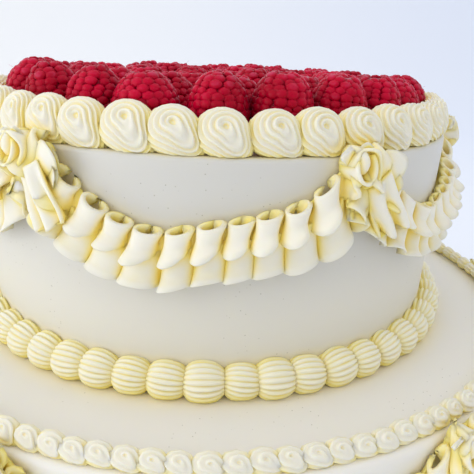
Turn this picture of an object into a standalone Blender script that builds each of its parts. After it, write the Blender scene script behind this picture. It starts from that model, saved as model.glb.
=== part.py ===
"""A two-tier buttercream cake with piped borders, swagged ruffles and a top covered in raspberries.

Metres, +Z up. The origin is the centre of the lower tier's underside. Angles round the cake start
at the front (-Y) and grow towards +X. Raspberries stand in rings on the upper tier.
"""

import math
import random

import bmesh
import bpy
from mathutils import Matrix, Vector

# Driving sizes
LOWER_RADIUS = 0.150
LOWER_HEIGHT = 0.092
UPPER_RADIUS = 0.106
UPPER_HEIGHT = 0.0842
CLEARANCE = 0.0003
TIER_SIDES = 56
EDGE_ROUND = 0.0018

# Piped borders, as how many pieces go round and how large each one is
ROSETTES = 41
ROSETTE_FIRST = 1.5
ROSETTE_HEIGHT = 0.0152
ROSETTE_INNER = 0.0955
ROSETTE_OUTER = 0.1062
ROSETTE_LEAN = 0.16
UPPER_SHELL_PITCH = 0.0128
UPPER_SHELL_FIRST = -0.9
LOWER_SHELL_PITCH = 0.0152
SHELL_OUT = 0.0093
SHELL_HEIGHT = 0.0110
LOOP_PITCH = 0.0080
LOOP_INNER = 0.1412
LOOP_OUTER = 0.1488
LOOP_HEIGHT = 0.0070

# Swagged ruffles
SWAGS = 6
SWAG_SPAN = 360.0 / SWAGS
UPPER_KNOT_ANGLE = 27.0
LOWER_KNOT_ANGLE = 34.0
UPPER_WAVES = 10
LOWER_WAVES = 11
SWAG_LOW = 0.0240
SWAG_LOWEST = 0.417
SWAG_HIGHEST = -0.0030
RUFFLE_RIDGE = 0.0083
RUFFLE_DROP = 0.0197
KNOT_DROP = 0.0030
CURL_SIDES = 6

# Raspberries, from the outside in: how many, at what radius, how wide
BERRY_RINGS = ((24, 0.0840, 0.0212), (15, 0.0610, 0.0236), (9, 0.0375, 0.0232), (4, 0.0152, 0.0212))
BERRY_HEIGHT = 0.0218
BERRY_TALLER = 0.0020
BERRY_SIDES = 6
BERRY_FIRST = 0.3

IVORY = (0.86, 0.80, 0.66)
CREAM = (0.86, 0.77, 0.56)
CRIMSON = (0.42, 0.015, 0.03)


def clear_scene():
    for thing in list(bpy.data.objects):
        bpy.data.objects.remove(thing)


def make_material(name, colour, roughness):
    material = bpy.data.materials.new(name)
    material.use_nodes = True
    shader = material.node_tree.nodes["Principled BSDF"]
    shader.inputs["Base Color"].default_value = (*colour, 1.0)
    shader.inputs["Roughness"].default_value = roughness
    shader.inputs["Metallic"].default_value = 0.0
    return material


def make_place(name, z):
    place = bpy.data.objects.new(name, None)
    place.empty_display_size = 0.02
    place.location = (0.0, 0.0, z)
    bpy.context.scene.collection.objects.link(place)
    return place


def make_object(name, bm, material, place=None):
    bmesh.ops.recalc_face_normals(bm, faces=bm.faces)
    mesh = bpy.data.meshes.new(name)
    bm.to_mesh(mesh)
    bm.free()
    mesh.materials.append(material)
    mesh.shade_smooth()
    mesh.set_sharp_from_angle(angle=math.radians(60))
    thing = bpy.data.objects.new(name, mesh)
    thing.parent = place
    bpy.context.scene.collection.objects.link(thing)
    return thing


def around(angle, radius, z):
    """The point at this many degrees round the cake, this far out and this high."""
    turn = math.radians(angle)
    return Vector((radius * math.sin(turn), -radius * math.cos(turn), z))


def mix(low, high, share):
    return low + (high - low) * share


def bridge(bm, first, second):
    count = len(first)
    for i in range(count):
        j = (i + 1) % count
        bm.faces.new((first[i], first[j], second[j], second[i]))


def closed_band(sections):
    """One solid all round the cake, from its cross-sections in order."""
    bm = bmesh.new()
    rings = [[bm.verts.new(point) for point in section] for section in sections]
    for i, ring in enumerate(rings):
        bridge(bm, ring, rings[(i + 1) % len(rings)])
    return bm


def capped_loft(sections, tip=None):
    """One solid through these outlines: flat at the first, and flat or ending on a point at the last."""
    bm = bmesh.new()
    rings = [[bm.verts.new(point) for point in section] for section in sections]
    for first, second in zip(rings, rings[1:]):
        bridge(bm, first, second)
    bm.faces.new(rings[0])
    last = rings[-1]
    if tip is None:
        bm.faces.new(last)
        return bm
    point = bm.verts.new(tip)
    for i, corner in enumerate(last):
        bm.faces.new((corner, last[(i + 1) % len(last)], point))
    return bm


def make_tier(name, radius, height, place, material):
    """A plain round tier with a slightly rounded upper edge."""
    outline = ((radius, 0.0), (radius, height - EDGE_ROUND), (radius - EDGE_ROUND, height))
    sections = []
    for out, z in outline:
        sections.append([around(360.0 * i / TIER_SIDES, out, z) for i in range(TIER_SIDES)])
    return make_object(name, capped_loft(sections), material, place)


def repeats(count, first, spread, seed):
    """Pieces piped one after another: each one's start angle, pitch and size, a little uneven."""
    rng = random.Random(seed)
    pitch = 360.0 / count
    starts = [first + pitch * (i - 0.5) + pitch * rng.uniform(-spread, spread) for i in range(count)]
    pieces = []
    for i, start in enumerate(starts):
        end = starts[i + 1] if i + 1 < count else starts[0] + 360.0
        pieces.append((start, end - start, rng.uniform(1.0 - spread, 1.0 + spread)))
    return pieces


def rosette_sections():
    """A groove, then three places over each rosette's dome, whose ridges lean down to the right."""
    sections = []
    for start, pitch, size in repeats(ROSETTES, ROSETTE_FIRST, 0.06, 3):
        for share, dome in ((0.0, 0.0), (0.24, 0.86), (0.5, 1.0), (0.76, 0.86)):
            height = ROSETTE_HEIGHT * size * mix(0.60, 1.0, dome)
            inner = mix(ROSETTE_INNER + 0.0022, ROSETTE_INNER, dome)
            outer = mix(ROSETTE_OUTER - 0.0026, ROSETTE_OUTER, dome)
            outline = (
                (inner, CLEARANCE),
                (mix(inner, outer, 0.30), height),
                (mix(inner, outer, 0.70), height * 0.94),
                (outer, height * 0.46),
                (mix(inner, outer, 0.88), CLEARANCE),
            )
            angle = start + pitch * share
            lean = ROSETTE_LEAN * pitch
            sections.append([around(angle + lean * (0.5 - z / height), out, z) for out, z in outline])
    return sections


def loop_sections():
    """The small loops round the lower tier's upper edge: a groove and a crest for each."""
    count = round(math.tau * (LOOP_INNER + LOOP_OUTER) / 2 / LOOP_PITCH)
    middle = (LOOP_INNER + LOOP_OUTER) / 2
    sections = []
    for start, pitch, size in repeats(count, 0.0, 0.06, 5):
        for share, dome in ((0.0, 0.0), (0.5, 1.0)):
            height = LOOP_HEIGHT * size * mix(0.62, 1.0, dome)
            half = (LOOP_OUTER - LOOP_INNER) / 2 * mix(0.74, 1.0, dome)
            outline = ((middle - half, CLEARANCE), (middle, height), (middle + half, CLEARANCE))
            angle = start + pitch * share
            sections.append([around(angle, out, z) for out, z in outline])
    return sections


def shell_sections(wall, shell_pitch, first, seed, places):
    """Barrel-shaped shells round the foot of a tier, with these places along each shell."""
    inner = wall + CLEARANCE
    count = round(math.tau * (wall + SHELL_OUT / 2) / shell_pitch)
    sections = []
    for start, pitch, size in repeats(count, first, 0.07, seed):
        for share, dome in places:
            out = wall + SHELL_OUT * size * mix(0.60, 1.0, dome)
            height = SHELL_HEIGHT * size * mix(0.66, 1.0, dome)
            outline = (
                (inner, 0.0),
                (inner, height),
                (mix(inner, out, 0.78), height * 0.88),
                (mix(inner, out, 0.84), 0.0),
            )
            angle = start + pitch * share
            sections.append([around(angle, distance, z) for distance, z in outline])
    return sections


def swag_line(share):
    """How far the ruffle's upper edge hangs below the tier's top, from one knot (0) to the next (1)."""
    before = max(SWAG_LOWEST - share, 0.0) / SWAG_LOWEST
    after = max(share - SWAG_LOWEST, 0.0) / (1.0 - SWAG_LOWEST)
    rise = 0.030 * before**2 + 0.0128 * after + 0.030 * after**7.6
    return max(SWAG_LOW - rise, SWAG_HIGHEST)


def ruffle_sections(wall, waves, knot_angle, seed):
    """The double ruffle: an upper frill of rolled loops over a row of flutes that flare at the hem."""
    rng = random.Random(seed)
    inner = wall + CLEARANCE
    sections = []
    for swag in range(SWAGS):
        for wave in range(waves):
            for half in (0, 1):
                share = (wave + 0.5 * half) / waves
                stand = rng.uniform(0.90, 1.08) * (1.0 if half else 0.42)
                top = -swag_line(share)
                drop = RUFFLE_DROP * mix(0.92, 1.12, abs(2.0 * share - 1.0))
                ridge = top - RUFFLE_RIDGE + (0.0 if half else 0.0012)
                hem = top - drop + (0.0 if half else 0.0026)
                outline = (
                    (inner, hem + 0.0042),
                    (inner + 0.0028 + 0.0068 * stand, hem),
                    (inner + 0.0012 + 0.0036 * stand, ridge - 0.0022),
                    (inner + 0.0024 + 0.0062 * stand, ridge),
                    (inner + 0.0016 + 0.0058 * stand, top),
                    (inner, top - 0.0016),
                )
                angle = knot_angle + SWAG_SPAN * (swag + share)
                sections.append([around(angle, out, z) for out, z in outline])
    return sections


def facing_out(angle, radius, z, tilt=0.0):
    """A frame on the wall: X to the left along it, Y out of it, Z up, leant to the left by this tilt."""
    turn = Matrix.Rotation(math.radians(angle + 180.0), 4, "Z")
    return Matrix.Translation(around(angle, radius, z)) @ turn @ Matrix.Rotation(math.radians(tilt), 4, "Y")


def knot_curl():
    """A rolled curl that faces out of the wall, with a hollow in its middle."""
    turns = [math.tau * i / CURL_SIDES for i in range(CURL_SIDES)]
    sections = []
    for out, radius in ((-0.001, 0.0056), (0.0062, 0.0076), (0.0106, 0.0060)):
        sections.append([Vector((radius * math.cos(turn), out, radius * math.sin(turn))) for turn in turns])
    return capped_loft(sections, Vector((0.0, 0.0070, 0.0)))


def knot_petal(width, length, flare):
    """A short broad petal that widens from its root and stands away from the wall."""
    sections = []
    for share in (0.0, 1.0):
        half = width / 2 * mix(0.55, 1.0, share)
        out = mix(0.0012, flare, share)
        up = length * share
        sections.append(
            [
                Vector((-half, out - 0.0012, up)),
                Vector((half, out - 0.0012, up)),
                Vector((half * 0.9, out + 0.0016, up)),
                Vector((-half * 0.9, out + 0.0016, up)),
            ]
        )
    return capped_loft(sections)


def knot_parts(wall, angle):
    """The pieces of one bow-like knot and where each is set: a curl, an upper petal and a tail."""
    z = -KNOT_DROP
    yield knot_curl(), facing_out(angle - math.degrees(0.0056 / wall), wall + 0.0012, z)
    petal = knot_petal(0.0105, 0.0140, 0.0080)
    yield petal, facing_out(angle + math.degrees(0.0030 / wall), wall + 0.0014, z - 0.0034, -50.0)
    tail = knot_petal(0.0165, 0.0178, 0.0092)
    yield tail, facing_out(angle + math.degrees(0.0006 / wall), wall + 0.0014, z - 0.0050, 178.0)


def join_to(base, pieces):
    """One Boolean union of these pieces with the base object, which is then applied."""
    helpers = bpy.data.collections.new("knots")
    bpy.context.scene.collection.children.link(helpers)
    for piece in pieces:
        bpy.context.scene.collection.objects.unlink(piece)
        helpers.objects.link(piece)
    union = base.modifiers.new("knots", "BOOLEAN")
    union.operation = "UNION"
    union.operand_type = "COLLECTION"
    union.collection = helpers
    union.solver = "EXACT"
    union.use_self = True
    graph = bpy.context.evaluated_depsgraph_get()
    joined = bpy.data.meshes.new_from_object(base.evaluated_get(graph))
    base.modifiers.clear()
    base.data = joined
    for piece in pieces:
        bpy.data.objects.remove(piece)
    bpy.data.collections.remove(helpers)
    joined.shade_smooth()
    joined.set_sharp_from_angle(angle=math.radians(60))


def make_garland(name, wall, waves, knot_angle, place, material, seed):
    bm = closed_band(ruffle_sections(wall, waves, knot_angle, seed))
    garland = make_object(name, bm, material, place)
    bpy.context.view_layer.update()
    pieces = []
    for knot in range(SWAGS):
        for bm, turned in knot_parts(wall, knot_angle + SWAG_SPAN * knot):
            piece = make_object("knot piece", bm, material, place)
            piece.matrix_local = turned
            pieces.append(piece)
    join_to(garland, pieces)
    return garland


def berry_mesh(width, height, rng):
    """A raspberry: rings of drupelets, each ring turned half a step, closing on a blunt tip."""
    levels = ((0.0, 0.37), (0.13, 0.48), (0.38, 0.515), (0.64, 0.435), (0.86, 0.26))
    sections = []
    for i, (share, wide) in enumerate(levels):
        ring = []
        for side in range(BERRY_SIDES):
            turn = math.tau * (side + 0.5 * (i % 2)) / BERRY_SIDES
            out = width * wide * rng.uniform(0.97, 1.03)
            ring.append(Vector((out * math.cos(turn), out * math.sin(turn), height * share)))
        sections.append(ring)
    return capped_loft(sections, Vector((0.0, 0.0, height)))


def make_berries(place, material):
    """Rings of upright raspberries, the tallest in front, each turned and tipped a little by chance."""
    rng = random.Random(11)
    number = 0
    for count, radius, width in BERRY_RINGS:
        offset = BERRY_FIRST if number == 0 else rng.uniform(0.0, 360.0)
        for i in range(count):
            number += 1
            size = rng.uniform(0.94, 0.99)
            angle = offset + 360.0 * i / count
            forward = math.cos(math.radians(angle)) * radius / BERRY_RINGS[0][1]
            height = (BERRY_HEIGHT + BERRY_TALLER * forward) * rng.uniform(0.94, 1.08)
            bm = berry_mesh(width * size, height, rng)
            berry = make_object(f"raspberry_{number:02d}", bm, material(number), place)
            angle += math.degrees(rng.uniform(-0.0004, 0.0004) / radius)
            tip = Matrix.Rotation(math.radians(rng.uniform(0.0, 6.0)), 3, "X")
            spin = Matrix.Rotation(rng.uniform(0.0, math.tau), 3, "Z")
            twist = Matrix.Rotation(rng.uniform(0.0, math.tau), 3, "Z")
            turned = spin @ tip @ twist
            lowest = min((turned @ vertex.co).z for vertex in berry.data.vertices)
            berry.rotation_euler = turned.to_euler()
            berry.location = around(angle, radius, CLEARANCE - lowest)


def build():
    clear_scene()
    lower_foot = make_place("lower_foot", 0.0)
    lower_top = make_place("lower_top", LOWER_HEIGHT)
    upper_foot = make_place("upper_foot", LOWER_HEIGHT + CLEARANCE)
    upper_top = make_place("upper_top", LOWER_HEIGHT + UPPER_HEIGHT)

    def icing(node, colour):
        return make_material(f"{node} buttercream", colour, 0.5)

    def berry_skin(number):
        return make_material(f"raspberry {number:02d}", CRIMSON, 0.4)

    node = "cake_tier_lower"
    make_tier(node, LOWER_RADIUS, LOWER_HEIGHT, lower_foot, icing(node, IVORY))
    node = "cake_tier_upper"
    make_tier(node, UPPER_RADIUS, UPPER_HEIGHT - CLEARANCE, upper_foot, icing(node, IVORY))

    node = "base_border_lower"
    places = ((0.0, 0.0), (0.5, 1.0))
    bm = closed_band(shell_sections(LOWER_RADIUS, LOWER_SHELL_PITCH, 0.0, 7, places))
    make_object(node, bm, icing(node, CREAM), lower_foot)
    node = "base_border_upper"
    places = ((0.0, 0.0), (0.3, 0.94), (0.7, 0.94))
    bm = closed_band(shell_sections(UPPER_RADIUS, UPPER_SHELL_PITCH, UPPER_SHELL_FIRST, 9, places))
    make_object(node, bm, icing(node, CREAM), upper_foot)
    node = "rim_border_lower"
    make_object(node, closed_band(loop_sections()), icing(node, CREAM), lower_top)
    node = "rim_border_upper"
    make_object(node, closed_band(rosette_sections()), icing(node, CREAM), upper_top)

    node = "garland_lower"
    make_garland(node, LOWER_RADIUS, LOWER_WAVES, LOWER_KNOT_ANGLE, lower_top, icing(node, IVORY), 13)
    node = "garland_upper"
    make_garland(node, UPPER_RADIUS, UPPER_WAVES, UPPER_KNOT_ANGLE, upper_top, icing(node, IVORY), 17)

    make_berries(upper_top, berry_skin)


build()
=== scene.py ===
"""The finish of a two-tier buttercream cake: piped rosettes, shells, loops, ruffled swags and raspberries.

Metres, +Z up, in the frame of the solids. Angles round the cake are degrees from the front (-Y) towards +X.
"""

import math

import bmesh
import bpy
import numpy as np
from mathutils import Matrix, Vector
from mathutils.bvhtree import BVHTree


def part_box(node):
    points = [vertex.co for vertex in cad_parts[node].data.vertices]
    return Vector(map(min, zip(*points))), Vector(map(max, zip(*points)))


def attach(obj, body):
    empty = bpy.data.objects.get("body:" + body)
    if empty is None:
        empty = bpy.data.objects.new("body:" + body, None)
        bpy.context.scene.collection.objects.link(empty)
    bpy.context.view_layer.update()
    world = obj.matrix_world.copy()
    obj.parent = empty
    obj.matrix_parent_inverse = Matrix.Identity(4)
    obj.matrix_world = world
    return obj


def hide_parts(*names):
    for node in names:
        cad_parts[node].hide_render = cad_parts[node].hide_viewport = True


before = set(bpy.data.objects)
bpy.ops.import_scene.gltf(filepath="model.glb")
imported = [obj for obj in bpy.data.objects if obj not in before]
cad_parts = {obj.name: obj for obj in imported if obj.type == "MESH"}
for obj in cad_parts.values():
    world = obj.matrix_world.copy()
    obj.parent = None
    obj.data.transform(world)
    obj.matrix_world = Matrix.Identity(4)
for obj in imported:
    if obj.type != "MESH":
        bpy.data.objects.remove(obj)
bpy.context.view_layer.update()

# Places taken from the solids
LOWER_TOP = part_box("cake_tier_lower")[1].z
LOWER_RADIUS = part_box("cake_tier_lower")[1].x
UPPER_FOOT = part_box("cake_tier_upper")[0].z
UPPER_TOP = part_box("cake_tier_upper")[1].z
UPPER_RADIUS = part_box("cake_tier_upper")[1].x

# Piping, as the solids have it
ROSETTES = 41
ROSETTE_FIRST = 1.5
ROSETTE_CENTRE = 0.1006
UPPER_SHELLS = 54
UPPER_SHELL_FIRST = -0.9
LOWER_SHELLS = 64
LOOPS = 114
LOOP_CENTRE = 0.1450
SWAGS = 6
UPPER_KNOT_ANGLE = 27.0
LOWER_KNOT_ANGLE = 34.0
KNOT_DROP = 0.0030

# How far a swag hangs below its tier's top, at what share of its run it hangs lowest, and a ruffle's drops
SWAG_LOW = 0.0240
SWAG_HIGHEST = -0.0030
SWAG_LOWEST = 0.417
RUFFLE_RIDGE = 0.0083
RUFFLE_DROP = 0.0197

# Folds of one swag, more than the solids have
UPPER_FOLDS = 12
LOWER_FOLDS = 16

# The camera, matched to the photograph
PICTURE = 474
FOCAL_PIXELS = 537.3
SENSOR = 36.0
CAMERA_BACK = 0.26863
CAMERA_ABOVE_LOWER_TOP = 0.1179
CAMERA_PITCH = 0.3482
CAMERA_YAW = 0.0479
CAMERA_ROLL = 0.0423

UP = np.array([0.0, 0.0, 1.0])
MM = 0.001


class Socket:
    """A value in a finish. Arithmetic on it adds Math nodes."""

    def __init__(self, finish, socket):
        self.finish = finish
        self.socket = socket

    def maths(self, operation, *values):
        node = self.finish.add("Math", {"operation": operation}, dict(enumerate(values)))
        return self.finish.out(node, 0)

    def __add__(self, other):
        return self.maths("ADD", self, other)

    __radd__ = __add__

    def __sub__(self, other):
        return self.maths("SUBTRACT", self, other)

    def __rsub__(self, other):
        return self.maths("SUBTRACT", other, self)

    def __mul__(self, other):
        return self.maths("MULTIPLY", self, other)

    __rmul__ = __mul__

    def above(self, edge, width):
        """0 below the edge, 1 above it by this width, and even between."""
        settings = {"interpolation_type": "SMOOTHSTEP"}
        values = {0: self, 1: edge, 2: edge + width}
        return self.finish.out(self.finish.add("MapRange", settings, values), 0)


class Finish:
    """A material and its nodes. add() makes one from its type, its settings and its sockets' values."""

    def __init__(self, name):
        self.material = bpy.data.materials.new(name)
        self.material.use_nodes = True
        self.tree = self.material.node_tree
        self.tree.nodes.clear()

    def add(self, kind, settings=None, inputs=None):
        node = self.tree.nodes.new("ShaderNode" + kind)
        for name, value in (settings or {}).items():
            setattr(node, name, value)
        for key, value in (inputs or {}).items():
            if isinstance(value, Socket):
                self.tree.links.new(value.socket, node.inputs[key])
            else:
                node.inputs[key].default_value = value
        return node

    def out(self, node, key):
        return Socket(self, node.outputs[key])

    def mix(self, share, first, second):
        """A colour between two, by the share of the second."""
        values = {0: share, 6: first, 7: second}
        return self.out(self.add("Mix", {"data_type": "RGBA"}, values), 2)

    def place(self):
        """The point's own place, in metres."""
        return self.out(self.add("TexCoord"), "Object")

    def along(self, axis):
        """The point's place along X, Y or Z."""
        return self.out(self.add("SeparateXYZ", {}, {0: self.place()}), axis)

    def noise(self, scale, detail=3.0):
        values = {"Vector": self.place(), "Scale": scale, "Detail": detail, "Roughness": 0.5}
        return self.out(self.add("TexNoise", {}, values), 0)

    def attribute(self, name):
        return self.out(self.add("Attribute", {"attribute_name": name}), "Fac")

    def bump(self, height, strength, distance):
        values = {"Height": height, "Strength": strength, "Distance": distance}
        return self.out(self.add("Bump", {}, values), 0)

    def shade(self, **values):
        """Ends the finish on a Principled shader with these values, spaces in names written as _."""
        values = {name.replace("_", " "): value for name, value in values.items()}
        shader = self.add("BsdfPrincipled", {}, values)
        output = self.add("OutputMaterial")
        self.tree.links.new(shader.outputs[0], output.inputs[0])
        return self.material


def colour(red, green, blue):
    """A linear colour from what the eye reads off a screen, 0 to 255 each."""
    linear = []
    for level in (red, green, blue):
        share = level / 255.0
        linear.append(share / 12.92 if share <= 0.04045 else ((share + 0.055) / 1.055) ** 2.4)
    return (*linear, 1.0)


class Shape:
    """Points and faces gathered for one piece."""

    def __init__(self):
        self.points = []
        self.quads = []
        self.triangles = []
        self.size = 0

    def add(self, points, quads, triangles):
        """Adds one closed part, turned so that its faces point out."""
        halves = np.concatenate([quads[:, [0, 1, 2]], quads[:, [0, 2, 3]], triangles])
        a, b, c = (points[halves[:, i]] for i in range(3))
        if np.einsum("ij,ij->i", a, np.cross(b, c)).sum() < 0.0:
            quads = quads[:, ::-1]
            triangles = triangles[:, ::-1]
        self.points.append(points)
        self.quads.append(quads + self.size)
        self.triangles.append(triangles + self.size)
        self.size += len(points)

    def tube(self, rings):
        """Adds a tube through rings of points, with a fan of triangles over each end."""
        count, sides = rings.shape[:2]
        points = rings.reshape(-1, 3)
        along, side = np.meshgrid(np.arange(count - 1), np.arange(sides), indexing="ij")
        after, beside = along + 1, (side + 1) % sides
        corners = ((along, side), (along, beside), (after, beside), (after, side))
        quads = np.stack([(row * sides + place).ravel() for row, place in corners], 1)
        ring = np.arange(sides)
        next_one = (ring + 1) % sides
        first = np.stack([next_one, ring, np.full(sides, len(points))], 1)
        last_ring = (count - 1) * sides
        last = np.stack([last_ring + ring, last_ring + next_one, np.full(sides, len(points) + 1)], 1)
        tips = np.stack([rings[0].mean(0), rings[-1].mean(0)])
        self.add(np.concatenate([points, tips]), quads, np.concatenate([first, last]))


def make_piece(name, shape, material, node):
    """The mesh of a piece, which replaces the solid of this node."""
    points = np.concatenate(shape.points)
    quads = np.concatenate(shape.quads)
    triangles = np.concatenate(shape.triangles)
    mesh = bpy.data.meshes.new(name)
    corners = np.concatenate([quads.ravel(), triangles.ravel()])
    starts = np.concatenate([np.arange(len(quads)) * 4, len(quads) * 4 + np.arange(len(triangles)) * 3])
    mesh.vertices.add(len(points))
    mesh.vertices.foreach_set("co", points.astype(np.float32).ravel())
    mesh.loops.add(len(corners))
    mesh.loops.foreach_set("vertex_index", corners.astype(np.int32))
    mesh.polygons.add(len(starts))
    mesh.polygons.foreach_set("loop_start", starts.astype(np.int32))
    mesh.update(calc_edges=True)
    mesh.validate()
    mesh.shade_smooth()
    mesh.materials.append(material)
    piece = bpy.data.objects.new(name, mesh)
    bpy.context.scene.collection.objects.link(piece)
    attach(piece, "root")
    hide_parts(node)
    return piece


def set_crease(piece, values):
    """Stores how deep in a crease each point lies, for the finishes to paint shade by."""
    attribute = piece.data.attributes.new("crease", "FLOAT", "POINT")
    attribute.data.foreach_set("value", values.astype(np.float32))


def mix(low, high, share):
    return low + (high - low) * share


def smooth(share):
    """Eases in and out between 0 and 1, and stays at them beyond."""
    share = np.clip(share, 0.0, 1.0)
    return share * share * (3.0 - 2.0 * share)


def unit(vectors):
    """The vectors at a length of 1."""
    return vectors / np.maximum(np.linalg.norm(vectors, axis=-1, keepdims=True), 1e-12)


def around(angle, radius, z):
    """Points at these degrees round the cake, this far out and this high."""
    turn = np.radians(angle)
    return np.stack(np.broadcast_arrays(radius * np.sin(turn), -radius * np.cos(turn), z), -1)


def wall_frame(angle):
    """Unit vectors along the wall to the right, and straight out of it."""
    turn = math.radians(angle)
    right = np.array([math.cos(turn), math.sin(turn), 0.0])
    outward = np.array([math.sin(turn), -math.cos(turn), 0.0])
    return right, outward


def star_rope(path, radius, facing, teeth, depth, twist, steps):
    """The rings of a piped rope with a star tip's ridges, from its path and its radius at each point."""
    forward = unit(np.gradient(path, axis=0))
    side = unit(np.cross(facing, forward))
    over = np.cross(forward, side)
    turns = np.linspace(0.0, math.tau, teeth * steps, endpoint=False)
    ridge = 1.0 + depth * (2.0 * np.abs(np.cos(teeth * turns / 2.0)) - 1.0)
    twisted = turns[None, :] + twist * np.linspace(0.0, 1.0, len(path))[:, None]
    out = radius[:, None] * ridge[None, :]
    across = (out * np.cos(twisted))[..., None] * side[:, None, :]
    above = (out * np.sin(twisted))[..., None] * over[:, None, :]
    return path[:, None, :] + across + above


# Tiers

def tier_shape(radius, foot, top, edge, seed):
    """A smoothed tier: its wall and top run a little uneven, as a scraper leaves them."""
    rng = np.random.default_rng(seed)
    columns = 150
    unevenness = 0.00022
    foot_inset, foot_bevel = 0.0004, 0.0006
    innermost = 0.004
    angle = np.linspace(0.0, 360.0, columns, endpoint=False)
    rows = [(radius - foot_inset, foot)]
    rows += [(radius, z) for z in np.linspace(foot + foot_bevel, top - edge, 34)]
    for turn in (0.4, 0.8, 1.2, 1.57):
        rows.append((radius - edge * (1 - math.cos(turn)), top - edge * (1 - math.sin(turn))))
    rows += [(out, top) for out in np.linspace(radius - edge, innermost, 24)[1:]]
    out, z = (np.array(values)[:, None] for values in zip(*rows))
    waver = np.zeros((len(rows), columns))
    for _ in range(10):
        waves = rng.integers(2, 15)
        per_metre = rng.uniform(20.0, 130.0)
        start, tilt = rng.uniform(0.0, math.tau, 2)
        size = unevenness / math.sqrt(waves)
        waver += size * np.cos(waves * np.radians(angle) + start) * np.cos(per_metre * z + tilt)
    on_wall = smooth((top - z) / 0.004)
    out = out + waver * on_wall
    z = z + waver * (1.0 - on_wall) * 0.5
    shape = Shape()
    shape.tube(around(angle[None, :], out, z))
    return shape


# Borders

class Swirl:
    """How one kind of piped swirl is made. Its lengths are millimetres at a scale of 1."""

    half_width = 7.75
    dome = 5.7
    back = 5.2
    centre_height = 7.3
    hollow = 1.7
    hollow_width = 0.95
    drawn_further = 0.44
    sunk_where_drawn = 2.6

    # Radians: half the angle that is drawn off, and where the rings begin and end on the way to the back
    pull_angle = 0.58
    first_arc = 0.06
    last_arc = 0.955 * math.pi + first_arc

    def __init__(self, scale, rings, sides, ridges, leans, wide, deep):
        self.scale = scale * MM
        self.rings = rings
        self.sides = sides
        self.ridges = ridges
        self.leans = leans
        self.wide = wide
        self.deep = deep

    def add(self, shape, angle, centre, foot, size, rng):
        """One swirl: ridges run round a hollow and are drawn off down to the right, under the next."""
        right, outward = wall_frame(angle)
        lean = math.radians(rng.uniform(*self.leans))
        facing = outward * math.cos(lean) + UP * math.sin(lean)
        rise = np.cross(facing, right)
        steps = np.linspace(0.0, 1.0, self.rings)
        arc = mix(self.first_arc, self.last_arc, mix(steps, steps ** 1.35, 0.8))[:, None]
        spread = np.linspace(-1.0, 1.0, self.sides, endpoint=False)[None, :]
        toward = math.pi * np.sign(spread) * np.abs(spread) ** 1.35
        turn = toward + math.radians(rng.uniform(-60.0, -44.0))
        pull = np.exp(-(toward / self.pull_angle) ** 2)
        front = np.cos(arc) > 0.0
        facing_share = np.clip(np.cos(arc), 0.0, 1.0)

        # Where the ring lies between the hollow (0) and the outline (1)
        share = np.sin(arc) ** 0.88
        flow = 0.66 * pull * smooth(arc / 0.6) * facing_share ** 0.25
        part = (1.0 - flow) * share + flow * (0.70 + 0.30 * share)

        # The tip's ridges, which fade out in the hollow and behind
        phase = self.ridges * 2.0 * arc + toward + rng.uniform(0.0, math.tau)
        fade = smooth((arc - self.first_arc) / 0.18) * smooth((math.pi - 0.15 - arc) / 0.5)
        groove = self.deep * np.cos(phase) * fade * (1.0 - 0.25 * pull * front)

        across = part * self.half_width * (1.0 + self.drawn_further * pull) + groove * np.sin(arc)
        dome = self.dome * np.sqrt(np.clip(1.0 - part ** 2.3, 0.0, 1.0))
        depth = np.where(front, dome, -self.back * np.abs(np.cos(arc)) ** 0.9) + groove * np.cos(arc)
        depth = depth - self.hollow * np.exp(-(part * self.half_width / self.hollow_width) ** 2) * front
        depth = depth - self.sunk_where_drawn * pull * part ** 2 * (1.0 + 0.2 * front)
        centred = facing_share ** 2 * (1.0 - flow)
        x = self.wide * across * np.cos(turn) + rng.uniform(0.6, 1.5) * centred
        y = across * np.sin(turn) * 0.97 + rng.uniform(0.3, 1.1) * centred
        x = x * (1.0 + 0.12 * smooth(-y / 7.0))
        middle = around(angle, centre, foot + self.centre_height * size)
        points = middle + size * (x[..., None] * right + y[..., None] * rise + depth[..., None] * facing)
        points[..., 2] = np.maximum(points[..., 2], foot + 0.0002)
        shape.tube(points)


def swirl_border(kind, count, first, centre, foot, seed):
    """Swirls of one kind piped side by side round the top of a tier."""
    rng = np.random.default_rng(seed)
    shape = Shape()
    for i in range(count):
        angle = first + 360.0 / count * (i + rng.uniform(-0.05, 0.05))
        size = kind.scale * rng.uniform(0.96, 1.05)
        middle = centre + rng.uniform(-0.0003, 0.0003)
        kind.add(shape, angle, middle, foot, size, rng)
    return shape


def shell_border(count, first, wall, foot, teeth, steps, rings, seed):
    """Ridged barrels piped one against the next round the foot of a tier."""
    rng = np.random.default_rng(seed)
    shape = Shape()
    half_height = 0.0069
    ridge_depth = 0.095
    centre_height, centre_out = 0.0052, 0.0026
    overlap = 1.10
    pitch = math.tau * (wall + 0.004) / count
    share = np.linspace(0.0, 1.0, rings)
    bulge = np.clip(1.0 - np.abs(2.0 * share - 0.94) ** 2.2, 0.0, 1.0) ** 0.62
    for i in range(count):
        size = rng.uniform(0.95, 1.05)
        half = half_height * size * rng.uniform(0.98, 1.03)
        reach = pitch * overlap * size
        angle = first + 360.0 / count * (i + rng.uniform(-0.05, 0.05))
        places = angle + np.degrees((share - 0.47) * reach / wall)
        height = foot + centre_height + (0.5 - share) * rng.uniform(-0.0006, 0.0014)
        out = wall + centre_out + (0.5 - share) * rng.uniform(0.0, 0.0010)
        path = around(places, out, height)
        radius = half * mix(0.42, 1.0, bulge) * mix(1.03, 0.94, share)
        depth = ridge_depth * rng.uniform(0.9, 1.1)
        barrel = star_rope(path, radius, UP, teeth, depth, rng.uniform(-0.25, 0.25), steps)
        barrel[..., 2] = np.maximum(barrel[..., 2], foot)
        shape.tube(barrel)
    return shape


# Ruffles

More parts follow.
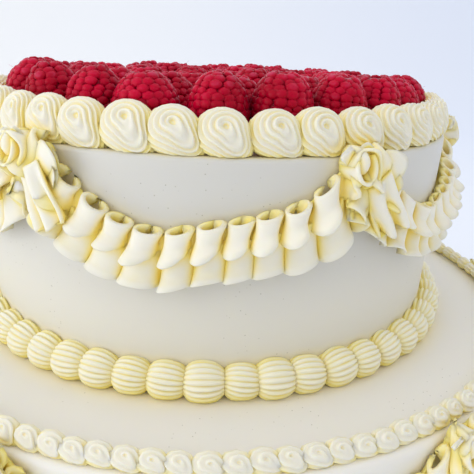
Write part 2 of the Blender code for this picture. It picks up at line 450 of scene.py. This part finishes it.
def swag_line(share):
    """How far the ruffle's upper edge hangs below the tier's top, from one knot (0) to the next (1)."""
    before = np.clip(SWAG_LOWEST - share, 0.0, 1.0) / SWAG_LOWEST
    after = np.clip(share - SWAG_LOWEST, 0.0, 1.0) / (1.0 - SWAG_LOWEST)
    rise = 0.030 * before ** 2 + 0.0128 * after + 0.030 * after ** 7.6
    return np.maximum(SWAG_LOW - rise, SWAG_HIGHEST)


def sheet(shape, middle, thickness):
    """Adds a soft sheet round a grid of points, as thick as given at each, with closed ends."""
    along = np.gradient(middle, axis=0)
    across = np.gradient(middle, axis=1)
    normal = unit(np.cross(along, across))
    half = normal * (thickness * 0.5)[..., None]
    rings = np.concatenate([middle + half, (middle - half)[:, ::-1]], axis=1)
    shape.tube(rings)


def frill(shape, wall, top, knot_angle, folds, upper, seed):
    """One swag's frill: a ribbon that folds to and fro in rounded loops, thin at its free edges.

    Its points run along the swag (wave, in folds) and across it (v, 0 at the upper edge and 1 at the hem).
    """
    rng = np.random.default_rng(seed)
    per_fold, rows = (18, 8) if wall < LOWER_RADIUS else (14, 7)
    first, last = -0.05, 0.965 * folds
    count = int((last - first) * per_fold)
    wave = np.linspace(first, last, count)
    v = np.linspace(0.0, 1.0, rows)[None, :]
    middle_radius = wall + 0.008
    run = math.radians(360.0 / SWAGS) * middle_radius
    pitch = run / folds
    near = wave % 1.0
    index = np.clip(np.floor(wave).astype(int) + 1, 0, folds + 1)
    steady = smooth(np.abs(2.0 * near - 1.0))

    def vary(low, high, rest):
        """A value of its own for each fold, meeting the rest's value in the creases."""
        return mix(rng.uniform(low, high, folds + 2)[index], rest, steady)[:, None]

    # The swag's line, with folds of uneven width along it
    ahead = np.cumsum(np.concatenate([[0.0], rng.uniform(-0.11, 0.11, folds + 1)]))
    ahead = ahead - np.linspace(ahead[0], ahead[-1], folds + 2)
    ahead = np.interp(wave, np.arange(folds + 2) - 1.0, ahead)
    share = np.clip((wave + ahead) / folds, -0.04, 1.04)
    line = top - swag_line(np.clip(share, 0.0, 1.0))
    steep = np.gradient(line) / np.maximum(np.gradient(share * run), 0.0002)
    along = unit(np.stack([np.ones(count), steep], 1))
    down = np.stack([along[:, 1], -along[:, 0]], 1)
    across, low = (-0.34, -0.60) if upper else (-0.10, -0.55)
    down = unit(down * 0.45 + np.array([across, low]))

    # A fold seen from above: a plain wave at the hem, a ring that shuts at its back at the mouth
    turn = (math.tau * near)[:, None]
    bulge = (1.0 - np.cos(turn)) / 2.0
    ring = mix(-0.15, math.tau + 0.15, np.clip((near - 0.10) / 0.80, 0.0, 1.0))
    edge = smooth(np.minimum(near, 1.0 - near) / 0.07)
    ring_side = ((0.5 - near - 0.42 * np.sin(ring)) * edge)[:, None]
    ring_out = ((1.0 - np.cos(ring)) / 2.0 * edge)[:, None]
    mouth_lift = (0.0012 * (1.0 + np.cos(ring)) / 2.0 * edge - 0.0024 * (1.0 - edge))[:, None]
    size = vary(0.82, 1.12, 0.95)
    shut = vary(0.52, 1.08, 0.8)
    flare = np.clip((v - 0.58) / 0.42, 0.0, 1.0) ** 1.6
    if upper:
        start, end = -0.0004, RUFFLE_RIDGE + 0.0008
        stand = 0.0060 - 0.0014 * smooth(v / 0.62) + 0.0044 * flare
        fold = 0.10 * smooth(v / 0.62) + 0.03 * flare
        folded = bulge
        rolled = 1.0 - smooth(v / 0.70)
        tilt = 0.12 * (1.0 - v) ** 1.5
        rest = mix(0.0008, 0.0022, v)
        thick = 0.0015 - 0.0005 * flare
        lift = (vary(-0.0004, 0.0010, 0.0) + mouth_lift) * (1.0 - v) ** 2
        lip = 0.0010 * np.sin(turn - 0.4) * v ** 2 + vary(-0.0005, 0.0005, 0.0) * v ** 3
        lean = vary(-0.26, 0.06, -0.08) * mix(1.0, 0.6, v)
        wriggle = 0.05 * np.sin(2.0 * turn)
    else:
        start, end = RUFFLE_RIDGE - 0.0020, RUFFLE_DROP - 0.0002
        stand = mix(0.0034, 0.0052, v) + 0.0028 * flare ** 1.5
        fold = mix(0.09, 0.20, v)
        folded = bulge ** mix(1.0, 0.42, v)
        rolled = 0.0
        tilt = 0.0
        rest = mix(0.0016, 0.0010, v)
        thick = mix(0.0015, 0.0006, v ** 1.5)
        lift = 0.0010 * bulge * v ** 3
        lip = 0.0002 * np.sin(turn) * v ** 3 + vary(-0.0010, 0.0010, 0.0) * v ** 3
        lean = vary(-0.42, 0.02, -0.18) * mix(0.6, 1.0, v)
        wriggle = 0.0

    # Each point's way out of the wall, along the swag and down from its line
    out = rest + stand * size * mix(folded, ring_out * shut, rolled)
    longer_by_knots = mix(0.95, 1.20, np.abs(2.0 * share - 1.0) ** 2)[:, None]
    level = (start + (end - start) * v) * longer_by_knots - lift + lip + tilt * out
    shift = pitch * mix(wriggle - fold * np.sin(turn), ring_side, rolled) + lean * out
    place = share[:, None] * run + along[:, 0:1] * shift + down[:, 0:1] * level
    height = line[:, None] + along[:, 1:2] * shift + down[:, 1:2] * level
    middle = around(knot_angle + np.degrees(place / middle_radius), wall + 0.0007 + out, height)
    sheet(shape, middle, np.broadcast_to(thick, middle.shape[:2]))


def petal(shape, origin, right, outward, width, length, lean, curls_out, phase):
    """A petal pulled from the wall: broad, cupped across, and curling out towards its uneven edge."""
    rise = np.cross(outward, right)
    turn = math.radians(lean)
    axis = rise * math.cos(turn) + right * math.sin(turn)
    side = right * math.cos(turn) - rise * math.sin(turn)
    thick = 0.0015
    cupped = 0.16 * width
    v = np.linspace(0.0, 1.0, 9)[:, None]
    u = np.linspace(-1.0, 1.0, 9)[None, :]
    half = width / 2.0 * mix(0.45, 1.0, smooth(v * 1.3))
    bend = length * curls_out * v ** 1.6 - cupped * (u ** 2) * (0.4 + 0.6 * v)
    reach = length * v * (1.0 - 0.34 * np.abs(u) ** 3.2 + 0.03 * np.sin(5.0 * u + phase))
    middle = origin + reach[..., None] * axis + (half * u)[..., None] * side + bend[..., None] * outward
    sheet(shape, middle, thick * mix(1.2, 0.8, v) * np.ones_like(u))


def curl(shape, origin, right, axis, radius, depth, first, last, taller, flare=1.0, peaks=0.0):
    """A ribbon bent round an axis that points out of the wall, from one angle to another."""
    rise = unit(np.cross(axis, right))
    count = max(12, int(abs(last - first) / 11.0))
    turn = np.radians(np.linspace(first, last, count))[:, None]
    share = np.linspace(0.0, 1.0, count)[:, None]
    v = np.linspace(0.0, 1.0, 8)[None, :]
    reach = radius * mix(0.72, 1.0, smooth(share * 1.4)) * mix(0.9, flare, v ** 2)
    stands = depth * mix(0.86, 1.0, np.sin(share * math.pi)) * v
    stands = stands + peaks * np.sin(share * 17.0) * v ** 3
    middle = origin + (reach * np.cos(turn))[..., None] * right
    middle = middle + (reach * taller * np.sin(turn))[..., None] * rise
    middle = middle + stands[..., None] * axis
    sheet(shape, middle, mix(0.0019, 0.0010, v) * np.ones_like(share))


def lump(shape, origin, right, axis, wide, tall, deep):
    """A soft bulge that stands out along an axis, from its half width, half height and depth."""
    rise = unit(np.cross(axis, right))
    turn = np.linspace(0.0, math.tau, 14, endpoint=False)
    rings = []
    for share in np.linspace(0.0, 0.96, 8):
        out = math.sqrt(1.0 - share ** 3)
        ring = np.cos(turn)[:, None] * right * wide + np.sin(turn)[:, None] * rise * tall
        rings.append(origin + ring * out + axis * deep * share)
    shape.tube(np.stack(rings))


def tail(shape, right, outward, heart, phase):
    """The end of the ribbon: it hangs from the knot and opens in soft pleats towards its lower edge."""
    root_side, root_drop = 0.0024, 0.0036
    runs_right, hangs = 0.0092, 0.0186
    stands_out = 0.0074
    root_half, opens = 0.0038, 0.0036
    s = np.linspace(0.0, 1.0, 24)[:, None]
    u = np.linspace(-1.0, 1.0, 27)[None, :]
    pleats = math.tau * (0.80 * u + 0.35 * s * u + 0.10 * np.sin(5.0 * s)) + phase
    half = root_half + opens * s - 0.0006 * s ** 4
    side = root_side + runs_right * s + half * u
    out = stands_out + (0.0002 + 0.0019 * s ** 0.8) * np.sin(pleats) - 0.0014 * u ** 4
    hem = (0.0012 * np.sin(pleats) - 0.0016 * u ** 2) * s ** 2
    drop = root_drop + hangs * s - 0.0026 * u + hem
    middle = heart + side[..., None] * right + out[..., None] * outward - drop[..., None] * UP
    sheet(shape, middle, mix(0.0018, 0.0011, s) * np.ones_like(u))


# A knot's petals: right of and above its heart, lean, width, length, how far each curls and stands out
KNOT_PETALS = (
    (0.0026, -0.0050, 50.0, 0.0122, 0.0130, 0.06, 0.0050),
    (-0.0086, 0.0020, -24.0, 0.0050, 0.0052, 0.30, 0.0040),
    (-0.0040, 0.0030, 4.0, 0.0052, 0.0052, 0.30, 0.0046),
    (0.0056, -0.0050, 104.0, 0.0088, 0.0084, 0.34, 0.0034),
    (-0.0036, -0.0072, 190.0, 0.0094, 0.0072, 0.30, 0.0046),
)


def knot(shape, wall, top, angle, rng):
    """A bow-like knot: a short rolled tube, a fold over it, petals round it and the ribbon's end below."""
    right, outward = wall_frame(angle)
    heart = around(angle, wall + 0.0008, top - KNOT_DROP)
    tube = heart - right * 0.0060 + UP * 0.0006
    core = tube + UP * 0.0014
    fold = tube + right * 0.0010
    tube_axis = unit(outward + 0.10 * UP)
    fold_axis = unit(outward + 0.06 * UP)
    lump(shape, core, right, tube_axis, wide=0.0033, tall=0.0052, deep=0.0096)
    curl(shape, tube, right, tube_axis, 0.0040, 0.0100, first=150.0, last=400.0, flare=1.06, taller=1.35)
    curl(shape, fold, right, fold_axis, 0.0062, 0.0086, first=176.0, last=-78.0, taller=1.1, peaks=0.0006)
    tail(shape, right, outward, heart, rng.uniform(0.0, 6.0))
    for side, height, lean, width, length, curls_out, off in KNOT_PETALS:
        lean = lean + rng.uniform(-7.0, 7.0)
        size = rng.uniform(0.92, 1.08)
        phase = rng.uniform(0.0, 6.0)
        root = heart + right * side + UP * height + outward * off
        petal(shape, root, right, outward, width * size, length * size, lean, curls_out, phase)


def garland_shape(wall, top, knot_angle, folds, seed):
    """A ring of swags, each with a lower and an upper frill, and a knot where two swags meet."""
    rng = np.random.default_rng(seed)
    shape = Shape()
    for swag in range(SWAGS):
        angle = knot_angle + 360.0 / SWAGS * swag
        frill(shape, wall, top, angle, folds, False, seed + 10 + swag)
        frill(shape, wall, top, angle, folds, True, seed + 30 + swag)
        knot(shape, wall, top, angle, rng)
    return shape


# Raspberries

def drupelet_dome():
    """The rings of one drupelet of size 1: a dome that swells a little over its foot."""
    sides = 7
    turn = np.linspace(0.0, math.tau, sides, endpoint=False)
    rings = []
    for out, height in ((0.98, -0.25), (0.86, 0.48), (0.46, 0.86)):
        rings.append(np.stack([out * np.cos(turn), out * np.sin(turn), np.full(sides, height)], 1))
    return np.stack(rings)


DOME = drupelet_dome()
DRUPELET = 0.00216
HAIRS = 16

# Shares of a raspberry's height
FIRST_ROW = 0.055
BERRY_WIDEST = 0.36
LAST_ROW = 0.93
BERRY_HIGHEST = 0.985

# Spaces in drupelets, from one row to the next and from one drupelet to the next in a row
ROW_SPACE = 1.08
DRUPELET_SPACE = 1.66


def berry_place(node):
    """Where a raspberry stands: its foot's centre, its axis, and its height and width."""
    points = np.array([vertex.co[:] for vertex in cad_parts[node].data.vertices])
    low = points[points[:, 2] < points[:, 2].min() + 0.0028]
    tip = points[points[:, 2].argmax()]
    foot = low.mean(0)
    axis = unit(tip - foot)
    along = (points - foot) @ axis
    out = np.linalg.norm(points - foot - along[:, None] * axis, axis=1)
    return foot, axis, along.max(), 2.0 * out.max()


def berry_outline(share):
    """How wide a raspberry is at this share of its height, as a share of its half width."""
    below = mix(0.80, 1.0, smooth(share / BERRY_WIDEST))
    past = np.maximum(share - BERRY_WIDEST, 0.0) / 0.66
    above = np.sqrt(np.clip(1.0 - past ** 2.1, 0.0, 1.0))
    return np.where(share < BERRY_WIDEST, below, above)


class Raspberry:
    """One raspberry: a smooth core with drupelets in rows round it, and fine hairs."""

    def __init__(self, node, seed):
        self.rng = np.random.default_rng(seed)
        self.foot, self.axis, height, width = berry_place(node)
        self.side = unit(np.cross(self.axis, np.array([0.3, 1.0, 0.1])))
        self.other = np.cross(self.axis, self.side)
        self.drupelet = DRUPELET * self.rng.uniform(0.96, 1.04)
        self.half = width / 2.0 - self.drupelet * 0.50
        self.tall = height - self.drupelet * 0.8
        self.shape = Shape()

    def outward(self, turn):
        return math.cos(turn) * self.side + math.sin(turn) * self.other

    def add_core(self):
        share = np.linspace(0.0, BERRY_HIGHEST, 9)
        turn = np.linspace(0.0, math.tau, 14, endpoint=False)
        out = self.half * 1.04 * berry_outline(share)[:, None]
        core = self.foot + (self.tall * share)[:, None, None] * self.axis
        core = core + (out * np.cos(turn))[..., None] * self.side
        core = core + (out * np.sin(turn))[..., None] * self.other
        self.shape.tube(core)

    def row_shares(self):
        """How high up each row of drupelets lies: the rows draw together where the berry rounds off."""
        shares = [FIRST_ROW]
        while shares[-1] < LAST_ROW:
            out = berry_outline(shares[-1] + 0.05)
            shares.append(shares[-1] + self.drupelet * ROW_SPACE / self.tall * mix(0.55, 1.0, out ** 2))
        return shares

    def drupelet_places(self):
        """Each drupelet's share of the height, distance from the axis and turn. Rows are set off by half."""
        rng = self.rng
        places = []
        turn = rng.uniform(0.0, math.tau)
        for share in self.row_shares():
            out = self.half * berry_outline(min(share, BERRY_HIGHEST))
            count = max(1, int(round(math.tau * out / (self.drupelet * DRUPELET_SPACE))))
            turn += math.pi / count
            for j in range(count):
                around_it = turn + math.tau * (j + rng.uniform(-0.13, 0.13)) / count
                places.append((share + rng.uniform(-0.018, 0.018), out, around_it))
        return places

    def add_drupelet(self, share, out, turn):
        step = 0.02
        above = berry_outline(min(share + step, 1.0))
        below = berry_outline(max(share - step, 0.0))
        slope = (above - below) / (2.0 * step)
        outward = self.outward(turn)
        normal = unit(outward * self.tall - self.axis * slope * self.half)
        across = unit(np.cross(self.axis, outward))
        along = np.cross(normal, across)
        size = self.drupelet * self.rng.uniform(0.88, 1.12)
        place = self.foot + self.axis * share * self.tall + outward * out
        stretch = np.stack([across * size * 1.15, along * size * 0.94, normal * size * 0.70])
        points = place + DOME @ stretch
        points[..., 2] = np.maximum(points[..., 2], UPPER_TOP + 0.0001)
        self.shape.tube(points)

    def add_hair(self, share, out, turn):
        """A short hair that grows between two drupelets."""
        rng = self.rng
        outward = self.outward(turn + rng.uniform(0.3, 0.5) / 3.0)
        root = self.foot + self.axis * share * self.tall + outward * (out + self.drupelet * 0.3)
        sway = unit(outward + self.axis * rng.uniform(-0.2, 0.9) + unit(rng.normal(size=3)) * 0.6)
        bend = unit(rng.normal(size=3) + outward)
        t = np.linspace(0.0, 1.0, 4)[:, None]
        reach = rng.uniform(0.0016, 0.0034)
        path = root + sway * reach * t + bend * reach * 0.5 * t ** 2
        thick = np.linspace(0.00007, 0.00003, 4)
        self.shape.tube(star_rope(path, thick, self.axis, 3, 0.0, 0.0, 1))

    def build(self):
        self.add_core()
        places = self.drupelet_places()
        for place in places:
            self.add_drupelet(*place)
        for _ in range(HAIRS):
            self.add_hair(*places[self.rng.integers(len(places))])
        return self.shape


# Creases: what lies deep in the piping or between the berries, where the finishes paint shade

def points_of(mesh):
    values = np.empty(len(mesh.vertices) * 3, np.float32)
    mesh.vertices.foreach_get("co", values)
    return values.reshape(-1, 3)


def normals_of(mesh):
    values = np.empty(len(mesh.vertices) * 3, np.float32)
    mesh.vertex_normals.foreach_get("vector", values)
    return values.reshape(-1, 3)


def triangles_of(mesh):
    mesh.calc_loop_triangles()
    values = np.empty(len(mesh.loop_triangles) * 3, np.int32)
    mesh.loop_triangles.foreach_get("vertices", values)
    return values.reshape(-1, 3)


def edges_of(mesh):
    values = np.empty(len(mesh.edges) * 2, np.int32)
    mesh.edges.foreach_get("vertices", values)
    return values.reshape(-1, 2)


def tree_of(pieces):
    """All the pieces as one body that rays can hit."""
    points, faces = [], []
    size = 0
    for piece in pieces:
        points.append(points_of(piece.data))
        faces.append(triangles_of(piece.data) + size)
        size += len(points[-1])
    points = np.concatenate(points).tolist()
    faces = np.concatenate(faces).tolist()
    return BVHTree.FromPolygons(points, faces, all_triangles=True)


def crease_values(pieces, near, rays):
    """How deep in a crease each point lies: how much is filled close over it, and how hollow it is there."""
    lifted = 0.00025
    fade = 0.6
    hollow_weight = 0.40
    lowest_hollow = -0.15
    tree = tree_of(pieces)
    rng = np.random.default_rng(23)
    turn = rng.uniform(0.0, math.tau, rays)
    up = np.sqrt((np.arange(rays) + 0.5) / rays)
    flat = np.sqrt(1.0 - up ** 2)
    ways = np.stack([flat * np.cos(turn), flat * np.sin(turn), up], 1)
    found = []
    for piece in pieces:
        points = points_of(piece.data)
        normals = normals_of(piece.data)
        helper = np.where(np.abs(normals[:, 2:3]) < 0.9, [[0.0, 0.0, 1.0]], [[1.0, 0.0, 0.0]])
        side = unit(np.cross(normals, helper))
        other = np.cross(normals, side)
        spin = rng.uniform(0.0, math.tau, len(points))
        cos, sin = np.cos(spin)[:, None], np.sin(spin)[:, None]
        side, other = side * cos + other * sin, other * cos - side * sin
        start = (points + normals * lifted).tolist()
        filled = np.zeros(len(points))
        for x, y, z in ways:
            way = (side * x + other * y + normals * z).tolist()
            for i, (origin, direction) in enumerate(zip(start, way)):
                distance = tree.ray_cast(origin, direction, near)[3]
                if distance is not None:
                    filled[i] += 1.0 - fade * distance / near
        hollow = np.maximum(hollows(piece.data, points, normals), lowest_hollow)
        found.append(spread_out(piece.data, filled / rays) + hollow_weight * hollow)
    return found


def hollows(mesh, points, normals):
    """How hollow the surface is at each point, from -1 on a sharp ridge to 1 in a sharp groove."""
    ends = edges_of(mesh)
    way = points[ends[:, 1]] - points[ends[:, 0]]
    length = np.linalg.norm(way, axis=1)
    lift, total = np.zeros(len(points)), np.full(len(points), 1e-9)
    np.add.at(lift, ends[:, 0], np.einsum("ij,ij->i", way, normals[ends[:, 0]]))
    np.add.at(lift, ends[:, 1], -np.einsum("ij,ij->i", way, normals[ends[:, 1]]))
    np.add.at(total, ends[:, 0], length)
    np.add.at(total, ends[:, 1], length)
    return np.clip(lift / total * 2.2, -1.0, 1.0)


def spread_out(mesh, values):
    """The values blurred three times along the mesh's edges."""
    ends = edges_of(mesh)
    for _ in range(3):
        total = values.copy()
        weight = np.ones(len(values))
        for a, b in ((0, 1), (1, 0)):
            np.add.at(total, ends[:, a], values[ends[:, b]])
            np.add.at(weight, ends[:, a], 1.0)
        values = total / weight
    return values


# Finishes

def smoothed_buttercream(name, painted_shade_tone, bright):
    """The tiers' scraped icing: satin, with specks and little pits; painted shade makes it darker towards
    the upper tier's top and yellower in its creases.
    """
    finish = Finish(name)
    painted_shade_in_creases = colour(255, 245, 200)
    specked = colour(160, 156, 138)
    cloud = finish.noise(14.0)
    crease = finish.attribute("crease")
    height = finish.along("Z") + (cloud - 0.5) * 0.02
    # Painted shade: darker high on the upper tier's wall, where the rosettes overhang it.
    tone = finish.mix(height.above(UPPER_FOOT + 0.020, 0.040), bright, painted_shade_tone)
    # Painted shade: pale yellow in the creases.
    tone = finish.mix(crease.above(0.12, 0.60) * 0.45, tone, painted_shade_in_creases)
    cell_values = {"Vector": finish.place(), "Scale": 420.0, "Randomness": 1.0}
    cells = finish.add("TexVoronoi", {"feature": "F1"}, cell_values)
    patch = finish.noise(26.0, 2.0)
    speck = (1.0 - finish.out(cells, "Distance").above(0.06, 0.06)) * patch.above(0.53, 0.05)
    tone = finish.mix(speck * 0.6, tone, specked)
    fine = finish.noise(900.0, 2.0)
    pits = (1.0 - speck) * 0.6 + finish.noise(150.0) * 0.35 + fine * 0.08
    return finish.shade(
        Base_Color=tone,
        Roughness=cloud * 0.14 + 0.40,
        Normal=finish.bump(pits, 0.25, 0.0006),
        Subsurface_Weight=0.3,
        Subsurface_Radius=(1.0, 0.85, 0.5),
        Subsurface_Scale=0.002,
        Specular_IOR_Level=0.35,
    )


def piped_buttercream(name, light, deep):
    """Piped icing: near white on its ridges, with painted shade: golden in its creases, where light only
    reaches after many bounces.
    """
    finish = Finish(name)
    crease = finish.attribute("crease")
    cloud = finish.noise(60.0)
    depth = crease + (cloud - 0.5) * 0.08
    # Painted shade: the deep, golden colour in the creases.
    tone = finish.mix(depth.above(0.04, 0.58), light, deep)
    fine = finish.noise(700.0)
    return finish.shade(
        Base_Color=tone,
        Roughness=cloud * 0.12 + 0.40,
        Normal=finish.bump(fine, 0.10, 0.0003),
        Subsurface_Weight=0.45,
        Subsurface_Radius=(1.0, 0.88, 0.50),
        Subsurface_Scale=0.0016,
        Specular_IOR_Level=0.4,
    )


def raspberry_skin():
    """Deep red drupelets with painted shade, darker between them, and a pale pink painted highlight in
    patches where they stand free.
    """
    finish = Finish("raspberry skin")
    deep, bright = colour(172, 0, 36), colour(200, 1, 50)
    painted_shade_in_creases = colour(144, 0, 30)
    painted_highlight = colour(230, 96, 142)
    crease = finish.attribute("crease")
    cloud = finish.noise(260.0, 2.0)
    patch = finish.noise(45.0, 1.0)
    tone = finish.mix(patch.above(0.35, 0.3), deep, bright)
    # Painted shade: darker red between the drupelets.
    tone = finish.mix(crease.above(0.14, 0.50), tone, painted_shade_in_creases)
    # Painted highlight: pale pink in patches where the drupelets stand free of shade.
    painted_highlight_share = (1.0 - crease.above(0.00, 0.20)) * cloud.above(0.30, 0.4) * 0.34
    tone = finish.mix(painted_highlight_share, tone, painted_highlight)
    return finish.shade(
        Base_Color=tone,
        Roughness=cloud * 0.20 + 0.18,
        Normal=finish.bump(cloud, 0.12, 0.0003),
        Subsurface_Weight=0.15,
        Subsurface_Radius=(1.0, 0.2, 0.25),
        Subsurface_Scale=0.0006,
        Sheen_Weight=0.20,
        Sheen_Roughness=0.20,
        Sheen_Tint=colour(255, 140, 180),
        Specular_IOR_Level=0.10,
    )


# The cake

# Painted shade: the tiers' icing is set darker than the piped icing, and the upper tier's darker still.
lower_icing = smoothed_buttercream("lower tier buttercream", colour(236, 234, 225), colour(238, 235, 227))
upper_icing = smoothed_buttercream("upper tier buttercream", colour(216, 214, 207), colour(230, 227, 216))
# Painted light and shade: the piped icings' light tones differ to match the light each border catches, the
# rim's darker and the foot's lighter; each second colour is painted shade in creases.
rim_icing = piped_buttercream("piped rim buttercream", colour(235, 231, 215), colour(253, 234, 150))
foot_icing = piped_buttercream("piped foot buttercream", colour(249, 243, 222), colour(255, 233, 134))
ruffle_icing = piped_buttercream("ruffled buttercream", colour(240, 236, 222), colour(254, 231, 130))
fruit_skin = raspberry_skin()

everything = []


def add_icing(node, shape, material):
    everything.append(make_piece(node + "_icing", shape, material, node))


lower_tier = tier_shape(LOWER_RADIUS, 0.0, LOWER_TOP, edge=0.0022, seed=1)
add_icing("cake_tier_lower", lower_tier, lower_icing)
upper_tier = tier_shape(UPPER_RADIUS, UPPER_FOOT, UPPER_TOP, edge=0.0016, seed=2)
add_icing("cake_tier_upper", upper_tier, upper_icing)

rosette = Swirl(scale=1.0, rings=62, sides=26, ridges=11.5, leans=(22.0, 32.0), wide=1.10, deep=0.52)
rosettes = swirl_border(rosette, ROSETTES, ROSETTE_FIRST, ROSETTE_CENTRE, UPPER_TOP, seed=3)
add_icing("rim_border_upper", rosettes, rim_icing)
loop = Swirl(scale=0.46, rings=26, sides=12, ridges=5.0, leans=(34.0, 50.0), wide=1.34, deep=0.80)
loops = swirl_border(loop, LOOPS, 0.0, LOOP_CENTRE, LOWER_TOP, seed=4)
add_icing("rim_border_lower", loops, rim_icing)

finer = {"teeth": 19, "steps": 4, "rings": 12}
plainer = {"teeth": 17, "steps": 2, "rings": 11}
upper_shells = shell_border(UPPER_SHELLS, UPPER_SHELL_FIRST, UPPER_RADIUS, UPPER_FOOT, **finer, seed=5)
add_icing("base_border_upper", upper_shells, foot_icing)
lower_shells = shell_border(LOWER_SHELLS, 0.0, LOWER_RADIUS, 0.0, **plainer, seed=6)
add_icing("base_border_lower", lower_shells, foot_icing)

upper_garland = garland_shape(UPPER_RADIUS, UPPER_TOP, UPPER_KNOT_ANGLE, UPPER_FOLDS, seed=7)
add_icing("garland_upper", upper_garland, ruffle_icing)
lower_garland = garland_shape(LOWER_RADIUS, LOWER_TOP, LOWER_KNOT_ANGLE, LOWER_FOLDS, seed=8)
add_icing("garland_lower", lower_garland, ruffle_icing)

for number, node in enumerate(sorted(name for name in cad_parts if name.startswith("raspberry"))):
    fruit = Raspberry(node, seed=100 + number).build()
    everything.append(make_piece(node + "_fruit", fruit, fruit_skin, node))

CREASE_REACH = 0.008
rays = 9
for piece, values in zip(everything, crease_values(everything, CREASE_REACH, rays)):
    set_crease(piece, values)


# Room, light and camera

def backdrop_finish():
    """Pale paper with painted shade: a little bluer and darker towards the right, away from the window on
    the left.
    """
    finish = Finish("pale paper")
    left, right = colour(247, 249, 252), colour(232, 238, 251)
    # Painted shade: darker and bluer from left to right.
    tone = finish.mix(finish.along("X").above(-0.8, 1.9), left, right)
    return finish.shade(Base_Color=tone, Roughness=0.8, Emission_Color=tone, Emission_Strength=0.08)


def make_floor():
    """A pale floor that curves up into a backdrop far behind the cake."""
    front, bend_start, bend, top = -1.6, 1.1, 0.5, 2.4
    half_width = 3.0
    sunk = 0.0004
    profile = [(front, 0.0), (bend_start, 0.0)]
    for turn in np.linspace(0.15, 1.57, 12):
        profile.append((bend_start + bend * math.sin(turn), bend * (1.0 - math.cos(turn))))
    profile += [(bend_start + bend, top)]
    bm = bmesh.new()
    rows = [[bm.verts.new((x, y, z - sunk)) for x in (-half_width, half_width)] for y, z in profile]
    for first, second in zip(rows, rows[1:]):
        bm.faces.new((first[0], first[1], second[1], second[0]))
    mesh = bpy.data.meshes.new("floor")
    bm.to_mesh(mesh)
    bm.free()
    mesh.shade_smooth()
    mesh.materials.append(backdrop_finish())
    floor = bpy.data.objects.new("floor", mesh)
    bpy.context.scene.collection.objects.link(floor)


def add_window(place, aim, width, height, power, tone):
    data = bpy.data.lights.new("window", "AREA")
    data.shape = "RECTANGLE"
    data.size = width
    data.size_y = height
    data.energy = power
    data.color = tone
    lamp = bpy.data.objects.new("window", data)
    lamp.location = place
    lamp.rotation_euler = (Vector(aim) - Vector(place)).to_track_quat("-Z", "Y").to_euler()
    bpy.context.scene.collection.objects.link(lamp)


def make_lights():
    """A window to the left of the camera, and a bright room that is brightest above and behind the cake."""
    cake_middle = (0.0, 0.0, 0.12)
    add_window((-1.02, -0.60, 0.58), cake_middle, width=1.1, height=0.9, power=5.0, tone=(0.98, 0.99, 1.0))
    world = bpy.data.worlds.new("bright room")
    world.use_nodes = True
    nodes, links = world.node_tree.nodes, world.node_tree.links
    place = nodes.new("ShaderNodeTexCoord")
    toward = nodes.new("ShaderNodeVectorMath")
    toward.operation = "DOT_PRODUCT"
    toward.inputs[1].default_value = (0.0, 0.6, 0.8)
    brightness = nodes.new("ShaderNodeMapRange")
    for key, value in {"From Min": -0.6, "From Max": 1.0, "To Min": 0.56, "To Max": 1.15}.items():
        brightness.inputs[key].default_value = value
    links.new(place.outputs["Generated"], toward.inputs[0])
    links.new(toward.outputs["Value"], brightness.inputs["Value"])
    background = nodes["Background"]
    background.inputs["Color"].default_value = (0.97, 0.98, 1.0, 1.0)
    links.new(brightness.outputs[0], background.inputs["Strength"])
    bpy.context.scene.world = world
    bpy.context.scene.view_settings.view_transform = "Standard"


def make_camera():
    """In front of the cake, looking down, a little turned and rolled, as the photograph was taken."""
    pitch, yaw, roll = CAMERA_PITCH, CAMERA_YAW, CAMERA_ROLL
    ahead = Vector((math.sin(yaw) * math.cos(pitch), math.cos(yaw) * math.cos(pitch), -math.sin(pitch)))
    level = Vector((math.cos(yaw), -math.sin(yaw), 0.0))
    upright = level.cross(ahead)
    right = level * math.cos(roll) + upright * math.sin(roll)
    up = upright * math.cos(roll) - level * math.sin(roll)
    data = bpy.data.cameras.new("camera")
    data.sensor_width = SENSOR
    data.lens = FOCAL_PIXELS / PICTURE * SENSOR
    data.clip_start = 0.01
    camera = bpy.data.objects.new("camera", data)
    turned = Matrix((right, up, -ahead)).transposed().to_4x4()
    place = (0.0, -CAMERA_BACK, LOWER_TOP + CAMERA_ABOVE_LOWER_TOP)
    camera.matrix_world = Matrix.Translation(place) @ turned
    bpy.context.scene.collection.objects.link(camera)
    bpy.context.scene.camera = camera


make_floor()
make_lights()
make_camera()
